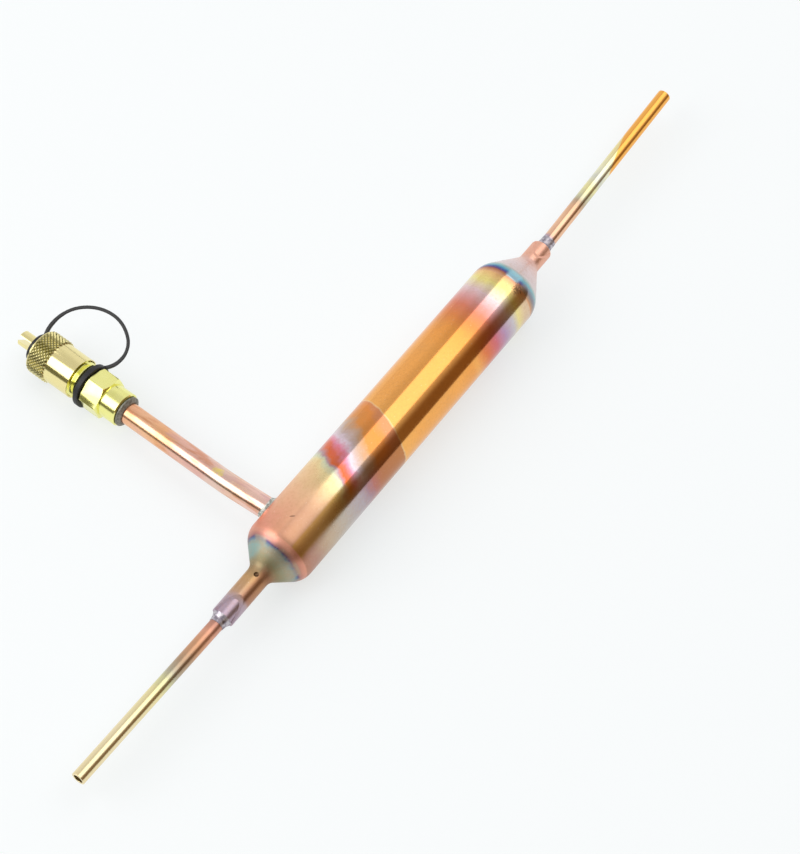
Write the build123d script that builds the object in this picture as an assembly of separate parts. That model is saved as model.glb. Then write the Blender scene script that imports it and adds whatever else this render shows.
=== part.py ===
from build123d import *
from math import asin, atan2, cos, degrees, pi, radians, sin, sqrt, tan
import os

# Copper filter drier with a brazed access valve. Millimetres.
# The origin is on the shell's axis, at the middle of its drying length. +X is the way the
# refrigerant flows, +Y is the side of the access valve and +Z is up, with the shell lying down.

# Shell: one copper tube, spun down to a neck at each end
shell_od = 20.0
shell_wall = 0.7
inlet_shoulder_x = 52.0
outlet_shoulder_x = 54.0
inlet_cone_length = 7.2
outlet_cone_length = 10.6
inlet_shoulder_round = 6.0
outlet_shoulder_round = 8.0
inlet_neck_round = 3.5
outlet_neck_round = 2.5
inlet_neck_od = 6.6
outlet_neck_od = 6.4
inlet_neck_length = 16.2
outlet_neck_length = 7.5
outlet_lip_round = 1.2

# Crimps that close the necks on the end tubes
crimp_turn = 20.0
inlet_crimp_length = 7.0
outlet_crimp_length = 5.6
crimp_lobe_wall = 0.8
crimp_web = 1.9
dimple_radius = 0.85
dimple_depth = 0.45
dimple_turn = 7.0
dimple_from_neck = 2.0

# End tubes
end_tube_od = 4.0
end_tube_wall = 0.6
end_tube_seat = 12.0
inlet_tube_reach = 58.0
outlet_tube_reach = 66.4
inlet_tube_lean = 0.95
outlet_tube_lean = 2.3
end_tube_bend = 70.0
inlet_braze_length = 2.6
inlet_braze_height = 0.85
outlet_braze_length = 3.0
outlet_braze_height = 0.22
tube_edge_round = 0.12

# Branch tube to the access valve
branch_x = -42.0
branch_od = 6.35
branch_wall = 0.76
branch_entry = 0.6
branch_elbow_at = 24.0
branch_elbow = 3.5
branch_elbow_bend = 120.0
branch_braze_round = 1.6

# Access valve, measured along the branch from the shell's axis
valve_foot = 61.6
socket_depth = 6.0
barrel_od = 10.0
barrel_length = 5.7
hex_af = 11.11
hex_length = 6.1
hex_turn = -15.5
hex_bevel = 0.75
relief_length = 2.1
thread_od = 11.11
thread_pitch = 1.27
thread_depth_per_pitch = 0.67
thread_length = 12.0
flare_length = 1.9
flare_tip_od = 7.2
chamber_bore = 4.5
core_thread_od = 5.33
core_thread_depth = 8.4
throat_bore = 3.4
throat_length = 2.4
valve_braze_od = 9.1
valve_braze_length = 1.5

# Valve core
core_below_tip = 1.0
core_plug_length = 4.2
core_plug_bore = 1.6
core_tang_width = 1.5
core_tang_height = 1.3
core_barrel_od = 3.8
core_barrel_wall = 0.5
core_barrel_length = 7.2
core_floor = 0.8
core_floor_hole = 1.7
core_gasket_length = 2.2
core_pin_od = 1.0
core_pin_head_od = 1.5
core_pin_head = 0.6
core_pin_proud = 0.4
core_collar_od = 2.5
core_collar_length = 0.5
core_seal_thickness = 0.6
core_cup_thickness = 1.0
spring_wire = 0.3
spring_turns = 6

# Cap with its core-key prong
cap_gap = 2.7
cap_od = 12.2
cap_length = 14.8
knurl_od = 13.4
knurl_length = 6.6
cap_end_wall = 1.8
cap_gasket_thickness = 1.2
cap_gasket_hole = 4.6
cap_gasket_squeeze_gap = 0.1
cap_edge_bevel = 0.45
cap_boss_od = 5.6
cap_boss_height = 0.8
prong_od = 4.6
prong_length = 7.3
prong_slot_width = 1.5
prong_slot_depth = 4.6
prong_turn = -42.0
prong_groove_depth = 0.3

# Retaining strap, moulded in one piece with a ring at each end
strap_thickness = 1.1
strap_width = 1.8
strap_tab_width = 4.2
strap_turn = 63.6
neck_ring_od = 13.2
neck_ring_thickness = 1.8
tip_ring_od = 8.6
strap_lift_off = 24.0

# The strap's bowed band, drawn from the tip ring out to its reach and back to the neck ring.
# Each place out from the valve's axis is a share of the reach.
strap_reach = 19.5
strap_crest_share = 0.39
strap_crest_rise = 0.75
strap_brow_share = 0.8
strap_brow_drop = 3.25
strap_reach_drop = 2.6
strap_heel_share = 0.85
strap_heel_drop = 1.03
strap_sole_share = 0.585
strap_sole_drop = 3.1

# Screens and desiccant
screen_wall = 0.4
inlet_screen_skirt = 4.0
inlet_screen_dish = 1.6
inlet_screen_behind_branch = 1.8
screen_hole = 1.3
screen_hole_pitch = 2.1
outlet_ring_length = 2.0
outlet_ring_width = 1.2
outlet_mesh_rim = 1.1
outlet_mesh_length = 8.0
outlet_mesh_nose_od = 4.4
desiccant_clearance = 0.15

# Clearances
fit = 0.02
braze_gap = 0.05
running = 0.05
thread_clearance = 0.055
soft_gap = 0.1

# What follows from them
shell_r = shell_od / 2
bore_r = shell_r - shell_wall
end_tube_r = end_tube_od / 2
branch_r = branch_od / 2
knurl_r = knurl_od / 2
relief_od = thread_od - 2 * thread_depth_per_pitch * thread_pitch
inlet_neck_x = -inlet_shoulder_x - inlet_cone_length
outlet_neck_x = outlet_shoulder_x + outlet_cone_length
inlet_end_x = inlet_neck_x - inlet_neck_length
outlet_end_x = outlet_neck_x + outlet_neck_length
hex_start = valve_foot + barrel_length
hex_end = hex_start + hex_length
thread_start = hex_end + relief_length
thread_end = thread_start + thread_length
valve_tip = thread_end + flare_length
cap_mouth = thread_start + cap_gap
cap_end = cap_mouth + cap_length
knurl_start = cap_end - knurl_length
prong_tip = cap_end + prong_length
# The branch slopes so that the cap's knurl and the shell lie on one flat surface.
branch_slope = degrees(asin((shell_r - knurl_r) / (cap_end - cap_edge_bevel)))

branch_frame = Plane(
    origin=(branch_x, 0, 0),
    z_dir=(0, cos(radians(branch_slope)), -sin(radians(branch_slope))),
    x_dir=(1, 0, 0),
)
elbow_point = Vector(branch_x, 0, 0) + branch_frame.z_dir * branch_elbow_at
valve_dir = branch_frame.z_dir.rotate(Axis.Z, -branch_elbow)
valve_out = Vector(1, 0, 0).rotate(Axis.Z, -branch_elbow)
# The valve's own frame: z along it, x up and y towards the outlet side.
valve_frame = Plane(
    origin=elbow_point - valve_dir * branch_elbow_at,
    z_dir=valve_dir,
    x_dir=valve_out.cross(valve_dir),
)


def turned(*points):
    """A solid turned about z, from its half-section given as (radius, height) points."""
    face = make_face(Polyline(*[(r, 0, z) for r, z in points], close=True))
    return revolve(face, Axis.Z)


def on_valve(solid):
    """A solid drawn about z, placed on the valve's axis."""
    return valve_frame.location * solid


def lathe_x(points, rounds):
    """A solid turned about the X axis. Rounds holds a radius for each point, or 0."""
    outline = Polyline(*[(x, r, 0) for x, r in points], close=True)
    face = make_face(outline)
    for (x, r), radius in zip(points, rounds):
        if radius:
            corner = face.vertices().sort_by_distance((x, r, 0))[0]
            face = fillet(corner, radius)
    return revolve(face, Axis.X)


def cone_turn(cone_length, neck_od):
    """How far the shell's wall turns inward at a shoulder, in radians."""
    return radians(90) - atan2(cone_length, shell_r - neck_od / 2)


def spun_form(skin, inlet_end, outlet_end, lip):
    """The shell's outer form, or with a skin its hollow, as a solid turned about X."""
    inlet_shift = skin * tan(cone_turn(inlet_cone_length, inlet_neck_od) / 2)
    outlet_shift = skin * tan(cone_turn(outlet_cone_length, outlet_neck_od) / 2)
    points = [
        (inlet_end, 0),
        (inlet_end, inlet_neck_od / 2 - skin),
        (inlet_neck_x + inlet_shift, inlet_neck_od / 2 - skin),
        (-inlet_shoulder_x + inlet_shift, shell_r - skin),
        (outlet_shoulder_x - outlet_shift, shell_r - skin),
        (outlet_neck_x - outlet_shift, outlet_neck_od / 2 - skin),
        (outlet_end, outlet_neck_od / 2 - skin),
        (outlet_end, 0),
    ]
    rounds = [
        0,
        lip / 4,
        inlet_neck_round + skin,
        inlet_shoulder_round - skin,
        outlet_shoulder_round - skin,
        outlet_neck_round + skin,
        lip,
        0,
    ]
    return lathe_x(points, rounds)


def crimp_jaws(end_x, inward, neck_od, length):
    """What two sloped jaws press away round the tube, leaving a lobe over it and two webs."""
    lobe = Cylinder(end_tube_r + crimp_lobe_wall, 3 * length, rotation=(0, 90, 0))
    lobe = Pos(end_x, 0, 0) * lobe
    top = neck_od
    section = Polyline(
        (end_x - inward * length, 0, crimp_web / 2 - (neck_od - crimp_web) / 2),
        (end_x + inward * length, 0, neck_od / 2),
        (end_x + inward * length, 0, top),
        (end_x - inward * length, 0, top),
        close=True,
    )
    jaw = extrude(make_face(section), neck_od, dir=(0, 1, 0), both=True) - lobe
    jaws = [jaw, mirror(jaw, Plane.XY)]
    return [Rot(crimp_turn, 0, 0) * solid for solid in jaws]


def drier_shell():
    """One copper tube spun to a neck at both ends and crimped on the end tubes."""
    outer = spun_form(0, inlet_end_x, outlet_end_x, outlet_lip_round)
    hollow = spun_form(
        shell_wall,
        inlet_end_x + inlet_crimp_length,
        outlet_end_x - outlet_crimp_length,
        0,
    )
    tube_bore = Cylinder(
        end_tube_r + braze_gap, 4 * outlet_end_x, rotation=(0, 90, 0)
    )
    branch_hole = branch_frame.location * Cylinder(
        branch_r + braze_gap, 2 * shell_od, align=(Align.CENTER, Align.CENTER, Align.MIN)
    )
    dimple = Rot(dimple_turn, 0, 0) * Pos(
        inlet_neck_x - dimple_from_neck,
        0,
        inlet_neck_od / 2 + dimple_radius - dimple_depth,
    ) * Sphere(dimple_radius)
    shell = outer - hollow - tube_bore - branch_hole - dimple
    for jaw in crimp_jaws(inlet_end_x, 1, inlet_neck_od, inlet_crimp_length):
        shell -= jaw
    for jaw in crimp_jaws(outlet_end_x, -1, outlet_neck_od, outlet_crimp_length):
        shell -= jaw
    return shell


def bent_tube(points, bend, od, wall):
    """A round tube along straight runs with a bend at each inner point."""
    path = FilletPolyline(*points, radius=bend)
    start = Plane(origin=path @ 0, z_dir=path % 0)
    ring = start * Circle(od / 2) - start * Circle(od / 2 - wall)
    return sweep(ring, path=path)


def end_tube(end_x, outward, reach, lean):
    """A tube brazed in a neck, leaning a little towards the valve's side past the neck."""
    angle = radians(lean)
    bend_point = Vector(end_x + outward * end_tube_seat / 4, 0, 0)
    run = Vector(outward * cos(angle), sin(angle), 0)
    far = bend_point + run * (reach - end_tube_seat / 4)
    near = Vector(end_x - outward * end_tube_seat, 0, 0)
    tube = bent_tube([near, bend_point, far], end_tube_bend, end_tube_od, end_tube_wall)
    rim = tube.edges().filter_by(GeomType.CIRCLE).sort_by_distance(far)[:2]
    return fillet(rim, tube_edge_round)


def braze_collar(end_x, outward, length, height):
    """Filler drawn out from a neck's end along its tube."""
    inner = end_tube_r + fit
    face = make_face(
        Polyline(
            (end_x, inner, 0),
            (end_x + outward * length, inner, 0),
            (end_x + outward * length, inner + height / 8, 0),
            (end_x + outward * length / 2, inner + height / 3, 0),
            (end_x, inner + height, 0),
            close=True,
        )
    )
    return revolve(face, Axis.X)


def branch_tube():
    """The tube from the shell to the valve's socket, with its slight elbow."""
    start = Vector(branch_x, 0, 0) + branch_frame.z_dir * (bore_r - branch_entry)
    end = elbow_point + valve_dir * (valve_foot + socket_depth - branch_elbow_at)
    return bent_tube([start, elbow_point, end], branch_elbow_bend, branch_od, branch_wall)


def branch_braze():
    """The fillet of filler round the branch tube where it enters the shell."""
    straight = inlet_shoulder_x
    body = Cylinder(shell_r, straight, rotation=(0, 90, 0))
    body = Pos(branch_x, 0, 0) * body
    stub = branch_frame.location * Cylinder(
        branch_r + fit, shell_od, align=(Align.CENTER, Align.CENTER, Align.MIN)
    )
    joined = body + stub
    seam = [
        edge
        for edge in joined.edges()
        if edge.geom_type == GeomType.BSPLINE or edge.geom_type == GeomType.OTHER
    ]
    filled = fillet(seam, branch_braze_round)
    return filled - body - stub


def valve_braze():
    """The ring of filler round the branch tube at the valve's foot."""
    inner = branch_r + fit
    ring_r = valve_braze_od / 2
    edge = valve_braze_length / 4
    return on_valve(
        turned(
            (inner, valve_foot),
            (ring_r - edge, valve_foot),
            (ring_r, valve_foot - edge),
            (ring_r, valve_foot - 2 * edge),
            (ring_r - 2 * edge, valve_foot - 3.6 * edge),
            (inner + edge, valve_foot - 4 * edge),
            (inner, valve_foot - 4 * edge),
        )
    )


def valve_body():
    """Turned from hexagon bar: socket barrel, hexagon, relief neck, thread and flare nose."""
    relief_r = relief_od / 2
    thread_r = thread_od / 2
    lead = thread_r - relief_r
    barrel_edge = 0.3
    body = turned(
        (0, valve_foot),
        (barrel_od / 2 - barrel_edge, valve_foot),
        (barrel_od / 2, valve_foot + barrel_edge),
        (barrel_od / 2, hex_start),
        (relief_r, hex_start),
        (relief_r, thread_start),
        (thread_r, thread_start + lead),
        (thread_r, thread_end - lead),
        (thread_r - lead, thread_end),
        (flare_tip_od / 2, valve_tip),
        (0, valve_tip),
    )
    corner_r = hex_af / sqrt(3)
    nut = Pos(0, 0, hex_start) * extrude(
        RegularPolygon(corner_r, 6, rotation=hex_turn), hex_length
    )
    crown = hex_bevel * tan(radians(30))
    nut &= turned(
        (0, hex_start),
        (corner_r - hex_bevel, hex_start),
        (corner_r, hex_start + crown),
        (corner_r, hex_end - crown),
        (corner_r - hex_bevel, hex_end),
        (0, hex_end),
    )
    core_bore_r = core_thread_od / 2 + thread_clearance
    chamber_r = chamber_bore / 2
    socket_end = valve_foot + socket_depth + braze_gap
    seat = valve_tip - core_thread_depth
    bore = turned(
        (0, valve_foot),
        (branch_r + braze_gap, valve_foot),
        (branch_r + braze_gap, socket_end),
        (throat_bore / 2, socket_end),
        (throat_bore / 2, socket_end + throat_length),
        (chamber_r, socket_end + throat_length),
        (chamber_r, seat - (core_bore_r - chamber_r)),
        (core_bore_r, seat),
        (core_bore_r, valve_tip),
        (0, valve_tip),
    )
    return on_valve(body + nut - bore)


plug_top = valve_tip - core_below_tip - core_tang_height
plug_foot = plug_top - core_plug_length
core_foot = plug_foot - core_barrel_length
pin_tip = valve_tip - core_below_tip + core_pin_proud
gasket_foot = valve_tip - core_thread_depth - (core_thread_od - chamber_bore) / 2


def core_plug():
    """The core's threaded plug, with two tangs for the key."""
    plug_r = core_thread_od / 2
    bore_r_ = core_plug_bore / 2
    plug = turned(
        (bore_r_, plug_foot),
        (plug_r - core_floor / 2, plug_foot),
        (plug_r, plug_foot + core_floor / 2),
        (plug_r, plug_top),
        (bore_r_, plug_top),
    )
    tangs = turned(
        (bore_r_, plug_top),
        (plug_r - core_floor / 2, plug_top),
        (plug_r - core_floor / 2, plug_top + core_tang_height),
        (bore_r_, plug_top + core_tang_height),
    )
    blade = Pos(0, 0, plug_top) * Box(
        core_thread_od,
        core_tang_width,
        2 * core_tang_height,
        align=(Align.CENTER, Align.CENTER, Align.MIN),
    )
    return on_valve(plug + (tangs & Rot(0, 0, prong_turn) * blade))


def core_barrel():
    """The core's sleeve, with a floor that the pin passes and a shoulder for the gasket."""
    outer = core_barrel_od / 2
    inner = outer - core_barrel_wall
    hole = core_floor_hole / 2
    top = plug_foot - fit
    return on_valve(
        turned(
            (hole, core_foot),
            (outer, core_foot),
            (outer, top),
            (inner, top),
            (inner, core_foot + core_floor),
            (hole, core_foot + core_floor),
        )
    )


def core_gasket():
    """The soft tapered ring that seals the core in its seat."""
    inner = core_barrel_od / 2 + fit
    small = chamber_bore / 2 - soft_gap / 2
    large = core_thread_od / 2 - soft_gap / 2
    rise = large - small
    return on_valve(
        turned(
            (inner, gasket_foot - core_gasket_length / 2),
            (small, gasket_foot - core_gasket_length / 2),
            (small, gasket_foot),
            (large, gasket_foot + rise),
            (large, gasket_foot + core_gasket_length / 2),
            (inner, gasket_foot + core_gasket_length / 2),
        )
    )


seal_top = core_foot - running
seal_foot = seal_top - core_seal_thickness
cup_foot = seal_foot - fit - core_cup_thickness
collar_top = plug_foot - running
collar_foot = collar_top - core_collar_length


def core_pin():
    """The depressor pin with its head, its collar over the spring and its lower end."""
    pin_r = core_pin_od / 2
    head_r = core_pin_head_od / 2
    collar_r = core_collar_od / 2
    return on_valve(
        turned(
            (0, cup_foot),
            (pin_r, cup_foot),
            (pin_r, collar_foot),
            (collar_r, collar_foot),
            (collar_r, collar_top),
            (pin_r, collar_top),
            (pin_r, pin_tip - core_pin_head),
            (head_r, pin_tip - core_pin_head),
            (head_r, pin_tip),
            (0, pin_tip),
        )
    )


def core_seal():
    """The rubber washer that shuts against the barrel's foot."""
    inner = core_pin_od / 2 + fit
    outer = core_barrel_od / 2 - fit
    return on_valve(
        turned((inner, seal_foot), (outer, seal_foot), (outer, seal_top), (inner, seal_top))
    )


def core_cup():
    """The brass cup that carries the seal on the pin's lower end."""
    inner = core_pin_od / 2 + fit
    outer = core_barrel_od / 2 - fit
    top = seal_foot - fit
    return on_valve(
        turned((inner, cup_foot), (outer - core_floor / 4, cup_foot), (outer, top), (inner, top))
    )


def core_spring():
    """The coil spring between the barrel's floor and the pin's collar."""
    foot = core_foot + core_floor + fit + spring_wire / 2
    height = collar_foot - fit - spring_wire / 2 - foot
    radius = (core_pin_od / 2 + core_barrel_od / 2 - core_barrel_wall) / 2
    line = Helix(height / spring_turns, height, radius)
    section = Plane(origin=line @ 0, z_dir=line % 0) * Circle(spring_wire / 2)
    return on_valve(Pos(0, 0, foot) * sweep(section, path=line, is_frenet=True))


def valve_cap():
    """The turned brass cap: plain skirt, knurled head, boss and slotted core-key prong."""
    skirt_r = cap_od / 2
    prong_r = prong_od / 2
    groove_r = prong_r - prong_groove_depth
    boss_top = cap_end + cap_boss_height
    groove_top = boss_top + strap_thickness + 2 * soft_gap
    bore = thread_od / 2 + thread_clearance
    ceiling = cap_end - cap_end_wall
    mouth_bevel = (skirt_r - bore) / 2
    lead = knurl_r - skirt_r
    cap = turned(
        (bore + mouth_bevel, cap_mouth),
        (skirt_r, cap_mouth),
        (skirt_r, knurl_start),
        (knurl_r, knurl_start + lead / 2),
        (knurl_r, cap_end - cap_edge_bevel),
        (knurl_r - cap_edge_bevel, cap_end),
        (cap_boss_od / 2, cap_end),
        (cap_boss_od / 2, boss_top),
        (groove_r, boss_top),
        (groove_r, groove_top),
        (prong_r, groove_top + prong_groove_depth),
        (prong_r, prong_tip - prong_groove_depth),
        (groove_r, prong_tip),
        (0, prong_tip),
        (0, ceiling),
        (bore, ceiling),
        (bore, cap_mouth + mouth_bevel),
    )
    slot = Pos(0, 0, prong_tip - prong_slot_depth) * Box(
        prong_od,
        prong_slot_width,
        2 * prong_slot_depth,
        align=(Align.CENTER, Align.CENTER, Align.MIN),
    )
    return on_valve(cap - Rot(0, 0, prong_turn) * slot)


def cap_gasket():
    """The flat rubber washer in the cap's ceiling, pressed on the flare nose."""
    top = cap_end - cap_end_wall
    foot = max(top - cap_gasket_thickness, valve_tip + cap_gasket_squeeze_gap)
    inner = cap_gasket_hole / 2
    outer = thread_od / 2 - soft_gap
    return on_valve(turned((inner, foot), (outer, foot), (outer, top), (inner, top)))


def cap_strap():
    """The moulded strap: a ring in the relief neck, a ring on the prong and a bowed band."""
    neck_low = hex_end + soft_gap
    neck_mid = neck_low + neck_ring_thickness / 2
    tip_low = cap_end + cap_boss_height + soft_gap
    tip_mid = tip_low + strap_thickness / 2
    neck_ring = turned(
        (relief_od / 2 + soft_gap, neck_low),
        (neck_ring_od / 2, neck_low),
        (neck_ring_od / 2, neck_low + neck_ring_thickness),
        (relief_od / 2 + soft_gap, neck_low + neck_ring_thickness),
    )
    hole = prong_od / 2 - prong_groove_depth + soft_gap
    tip_ring = turned(
        (hole, tip_low),
        (tip_ring_od / 2, tip_low),
        (tip_ring_od / 2, tip_low + strap_thickness),
        (hole, tip_low + strap_thickness),
    )
    tip_tab = tip_ring_od / 2 - strap_thickness
    neck_tab = (neck_ring_od - strap_thickness) / 2
    middle = (neck_mid + tip_mid) / 2
    stops = [
        (tip_tab, tip_mid),
        (strap_crest_share * strap_reach, tip_mid + strap_crest_rise),
        (strap_brow_share * strap_reach, tip_mid - strap_brow_drop),
        (strap_reach, middle - strap_reach_drop),
        (strap_heel_share * strap_reach, neck_mid - strap_heel_drop),
        (strap_sole_share * strap_reach, neck_mid - strap_sole_drop),
        (neck_tab, neck_mid),
    ]
    heading = Vector(1, 0).rotate(Axis.Z, strap_lift_off)
    arcs = []
    for start, stop in zip(stops, stops[1:]):
        arc = TangentArc(start, stop, tangent=heading)
        heading = arc % 1
        arcs.append(arc)
    ribbon = trace(Wire(arcs), strap_thickness)
    band = extrude(ribbon, strap_tab_width / 2, dir=(0, 0, 1), both=True)
    half_tab, half_band = strap_tab_width / 2, strap_width / 2
    tab_end = neck_ring_od / 2 + strap_thickness
    taper_end = (strap_reach + neck_ring_od / 2) / 2
    plan = Polyline(
        (0, 0, -half_tab),
        (tab_end, 0, -half_tab),
        (taper_end, 0, -half_band),
        (2 * strap_reach, 0, -half_band),
        (2 * strap_reach, 0, half_band),
        (taper_end, 0, half_band),
        (tab_end, 0, half_tab),
        (0, 0, half_tab),
        close=True,
    )
    band &= extrude(make_face(plan), 2 * cap_end, dir=(0, 1, 0))
    band = Rot(90, 0, 0) * band
    strap = neck_ring + tip_ring + band
    bore = Pos(0, 0, neck_mid) * Cylinder(relief_od / 2 + soft_gap, 3 * neck_ring_thickness)
    prong_hole = Pos(0, 0, tip_mid) * Cylinder(hole, 3 * strap_thickness)
    return on_valve(Rot(0, 0, strap_turn) * (strap - bore - prong_hole))


inlet_screen_x = branch_x + branch_r + inlet_screen_behind_branch


def inlet_screen():
    """A perforated brass cup pressed into the bore just past the branch."""
    outer = bore_r - fit
    inner = outer - screen_wall
    foot = inlet_screen_x
    cup = lathe_x(
        [
            (foot, outer),
            (foot + inlet_screen_skirt, outer),
            (foot + inlet_screen_skirt, inner),
            (foot + screen_wall, inner),
            (foot + screen_wall, 0),
            (foot, 0),
        ],
        [screen_wall, 0, 0, 0, 0, 0],
    )
    rings = int((inner - screen_hole) / screen_hole_pitch)
    places = [(0.0, 0.0)]
    for ring in range(1, rings + 1):
        for step in range(6 * ring):
            angle = 2 * pi * step / (6 * ring)
            radius = ring * screen_hole_pitch
            places.append((radius * cos(angle), radius * sin(angle)))
    for y, z in places:
        hole = Cylinder(screen_hole / 2, 4 * screen_wall, rotation=(0, 90, 0))
        cup -= Pos(foot + screen_wall / 2, y, z) * hole
    return cup


outlet_round_start = outlet_shoulder_x - outlet_shoulder_round * tan(
    cone_turn(outlet_cone_length, outlet_neck_od) / 2
)
outlet_rim_x = outlet_round_start + screen_wall


def outlet_ring():
    """The brass ring that holds the outlet mesh's rim against the spun shoulder."""
    outer = bore_r - fit
    far = outlet_rim_x - screen_wall - fit
    return lathe_x(
        [
            (far - outlet_ring_length, outer),
            (far, outer),
            (far, outer - outlet_ring_width),
            (far - outlet_ring_length, outer - outlet_ring_width),
        ],
        [0, 0, 0, 0],
    )


def outlet_mesh():
    """A thimble of fine woven brass cloth with a flat rim, nose towards the outlet."""
    rim_r = bore_r - soft_gap
    throat = rim_r - outlet_mesh_rim
    nose = outlet_mesh_nose_od / 2
    near = outlet_rim_x - screen_wall
    tip = near + outlet_mesh_length
    return lathe_x(
        [
            (near, rim_r),
            (outlet_rim_x, rim_r),
            (outlet_rim_x, throat),
            (tip, nose),
            (tip, 0),
            (tip - screen_wall, 0),
            (tip - screen_wall, nose - screen_wall),
            (near, throat - screen_wall),
        ],
        [0, 0, 0, screen_wall, 0, 0, 0, 0],
    )


def desiccant():
    """The packed bed of molecular sieve beads, as the space that the beads fill."""
    near = inlet_screen_x + inlet_screen_skirt + desiccant_clearance
    skirt_inner = bore_r - fit - screen_wall - desiccant_clearance
    face_x = inlet_screen_x + screen_wall + desiccant_clearance
    far = outlet_rim_x - screen_wall - fit - outlet_ring_length - desiccant_clearance
    outer = bore_r - desiccant_clearance
    return lathe_x(
        [
            (face_x, 0),
            (face_x, skirt_inner),
            (near, skirt_inner),
            (near, outer),
            (far, outer),
            (far, 0),
        ],
        [0, 0, 0, 0, 0, 0],
    )


parts = {
    "drier_shell": drier_shell(),
    "inlet_tube": end_tube(inlet_end_x, -1, inlet_tube_reach, inlet_tube_lean),
    "outlet_tube": end_tube(outlet_end_x, 1, outlet_tube_reach, outlet_tube_lean),
    "inlet_braze": braze_collar(inlet_end_x, -1, inlet_braze_length, inlet_braze_height),
    "outlet_braze": braze_collar(outlet_end_x, 1, outlet_braze_length, outlet_braze_height),
    "branch_tube": branch_tube(),
    "branch_braze": branch_braze(),
    "valve_braze": valve_braze(),
    "valve_body": valve_body(),
    "core_plug": core_plug(),
    "core_barrel": core_barrel(),
    "core_gasket": core_gasket(),
    "core_pin": core_pin(),
    "core_seal": core_seal(),
    "core_cup": core_cup(),
    "core_spring": core_spring(),
    "valve_cap": valve_cap(),
    "cap_gasket": cap_gasket(),
    "cap_strap": cap_strap(),
    "inlet_screen": inlet_screen(),
    "outlet_ring": outlet_ring(),
    "outlet_mesh": outlet_mesh(),
    "desiccant": desiccant(),
}

os.makedirs("parts", exist_ok=True)
for name, solid in parts.items():
    export_step(solid, f"parts/{name}.step")
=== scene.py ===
from math import asin, atan2, cos, hypot, radians, sin

import bpy
from mathutils import Matrix, Vector


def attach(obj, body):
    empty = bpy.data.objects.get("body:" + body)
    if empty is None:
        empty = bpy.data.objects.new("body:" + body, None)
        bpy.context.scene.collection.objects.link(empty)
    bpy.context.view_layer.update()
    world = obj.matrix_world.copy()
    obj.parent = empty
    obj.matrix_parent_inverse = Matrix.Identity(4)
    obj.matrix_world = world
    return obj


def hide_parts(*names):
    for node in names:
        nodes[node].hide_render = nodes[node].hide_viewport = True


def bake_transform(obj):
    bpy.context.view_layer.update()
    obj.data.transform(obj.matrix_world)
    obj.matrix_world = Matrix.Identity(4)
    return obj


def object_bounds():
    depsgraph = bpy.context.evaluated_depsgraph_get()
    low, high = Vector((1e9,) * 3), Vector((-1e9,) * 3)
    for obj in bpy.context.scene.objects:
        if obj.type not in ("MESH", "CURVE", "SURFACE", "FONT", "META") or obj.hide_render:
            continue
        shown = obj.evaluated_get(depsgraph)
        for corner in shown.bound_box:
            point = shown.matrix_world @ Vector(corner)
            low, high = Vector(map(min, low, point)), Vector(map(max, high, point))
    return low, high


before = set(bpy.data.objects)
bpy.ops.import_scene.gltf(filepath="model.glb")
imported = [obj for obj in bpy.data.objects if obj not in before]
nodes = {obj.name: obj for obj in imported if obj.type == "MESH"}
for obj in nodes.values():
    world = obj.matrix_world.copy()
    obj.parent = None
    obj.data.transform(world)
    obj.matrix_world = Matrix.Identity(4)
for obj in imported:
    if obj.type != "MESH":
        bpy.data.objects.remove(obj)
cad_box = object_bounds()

# ---------------------------------------------------------------------------
# Drier shell: one soft copper tube, spun down to a neck at each end and then
# crimped on the end tubes. Brazing has left rings of oxide colour on both
# shoulders and slanting patches of it along the middle.


class Value:
    """One socket of a shader tree. Python operators on it add Math nodes."""

    def __init__(self, tree, socket):
        self.tree, self.socket = tree, socket

    def __add__(self, other):
        return self.tree.add("Math", {"operation": "ADD"}, self, other)

    def __mul__(self, other):
        return self.tree.add("Math", {"operation": "MULTIPLY"}, self, other)

    def __sub__(self, other):
        return self.tree.add("Math", {"operation": "SUBTRACT"}, self, other)

    def __rsub__(self, other):
        return self.tree.add("Math", {"operation": "SUBTRACT"}, other, self)

    def __truediv__(self, other):
        return self.tree.add("Math", {"operation": "DIVIDE"}, self, other)

    __radd__, __rmul__ = __add__, __mul__

    def rise(self, start, end):
        """0 up to start, 1 from end on, and smooth between them."""
        settings = {"interpolation_type": "SMOOTHSTEP"}
        return self.tree.add("MapRange", settings, self, start, end, 0.0, 1.0)


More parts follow.
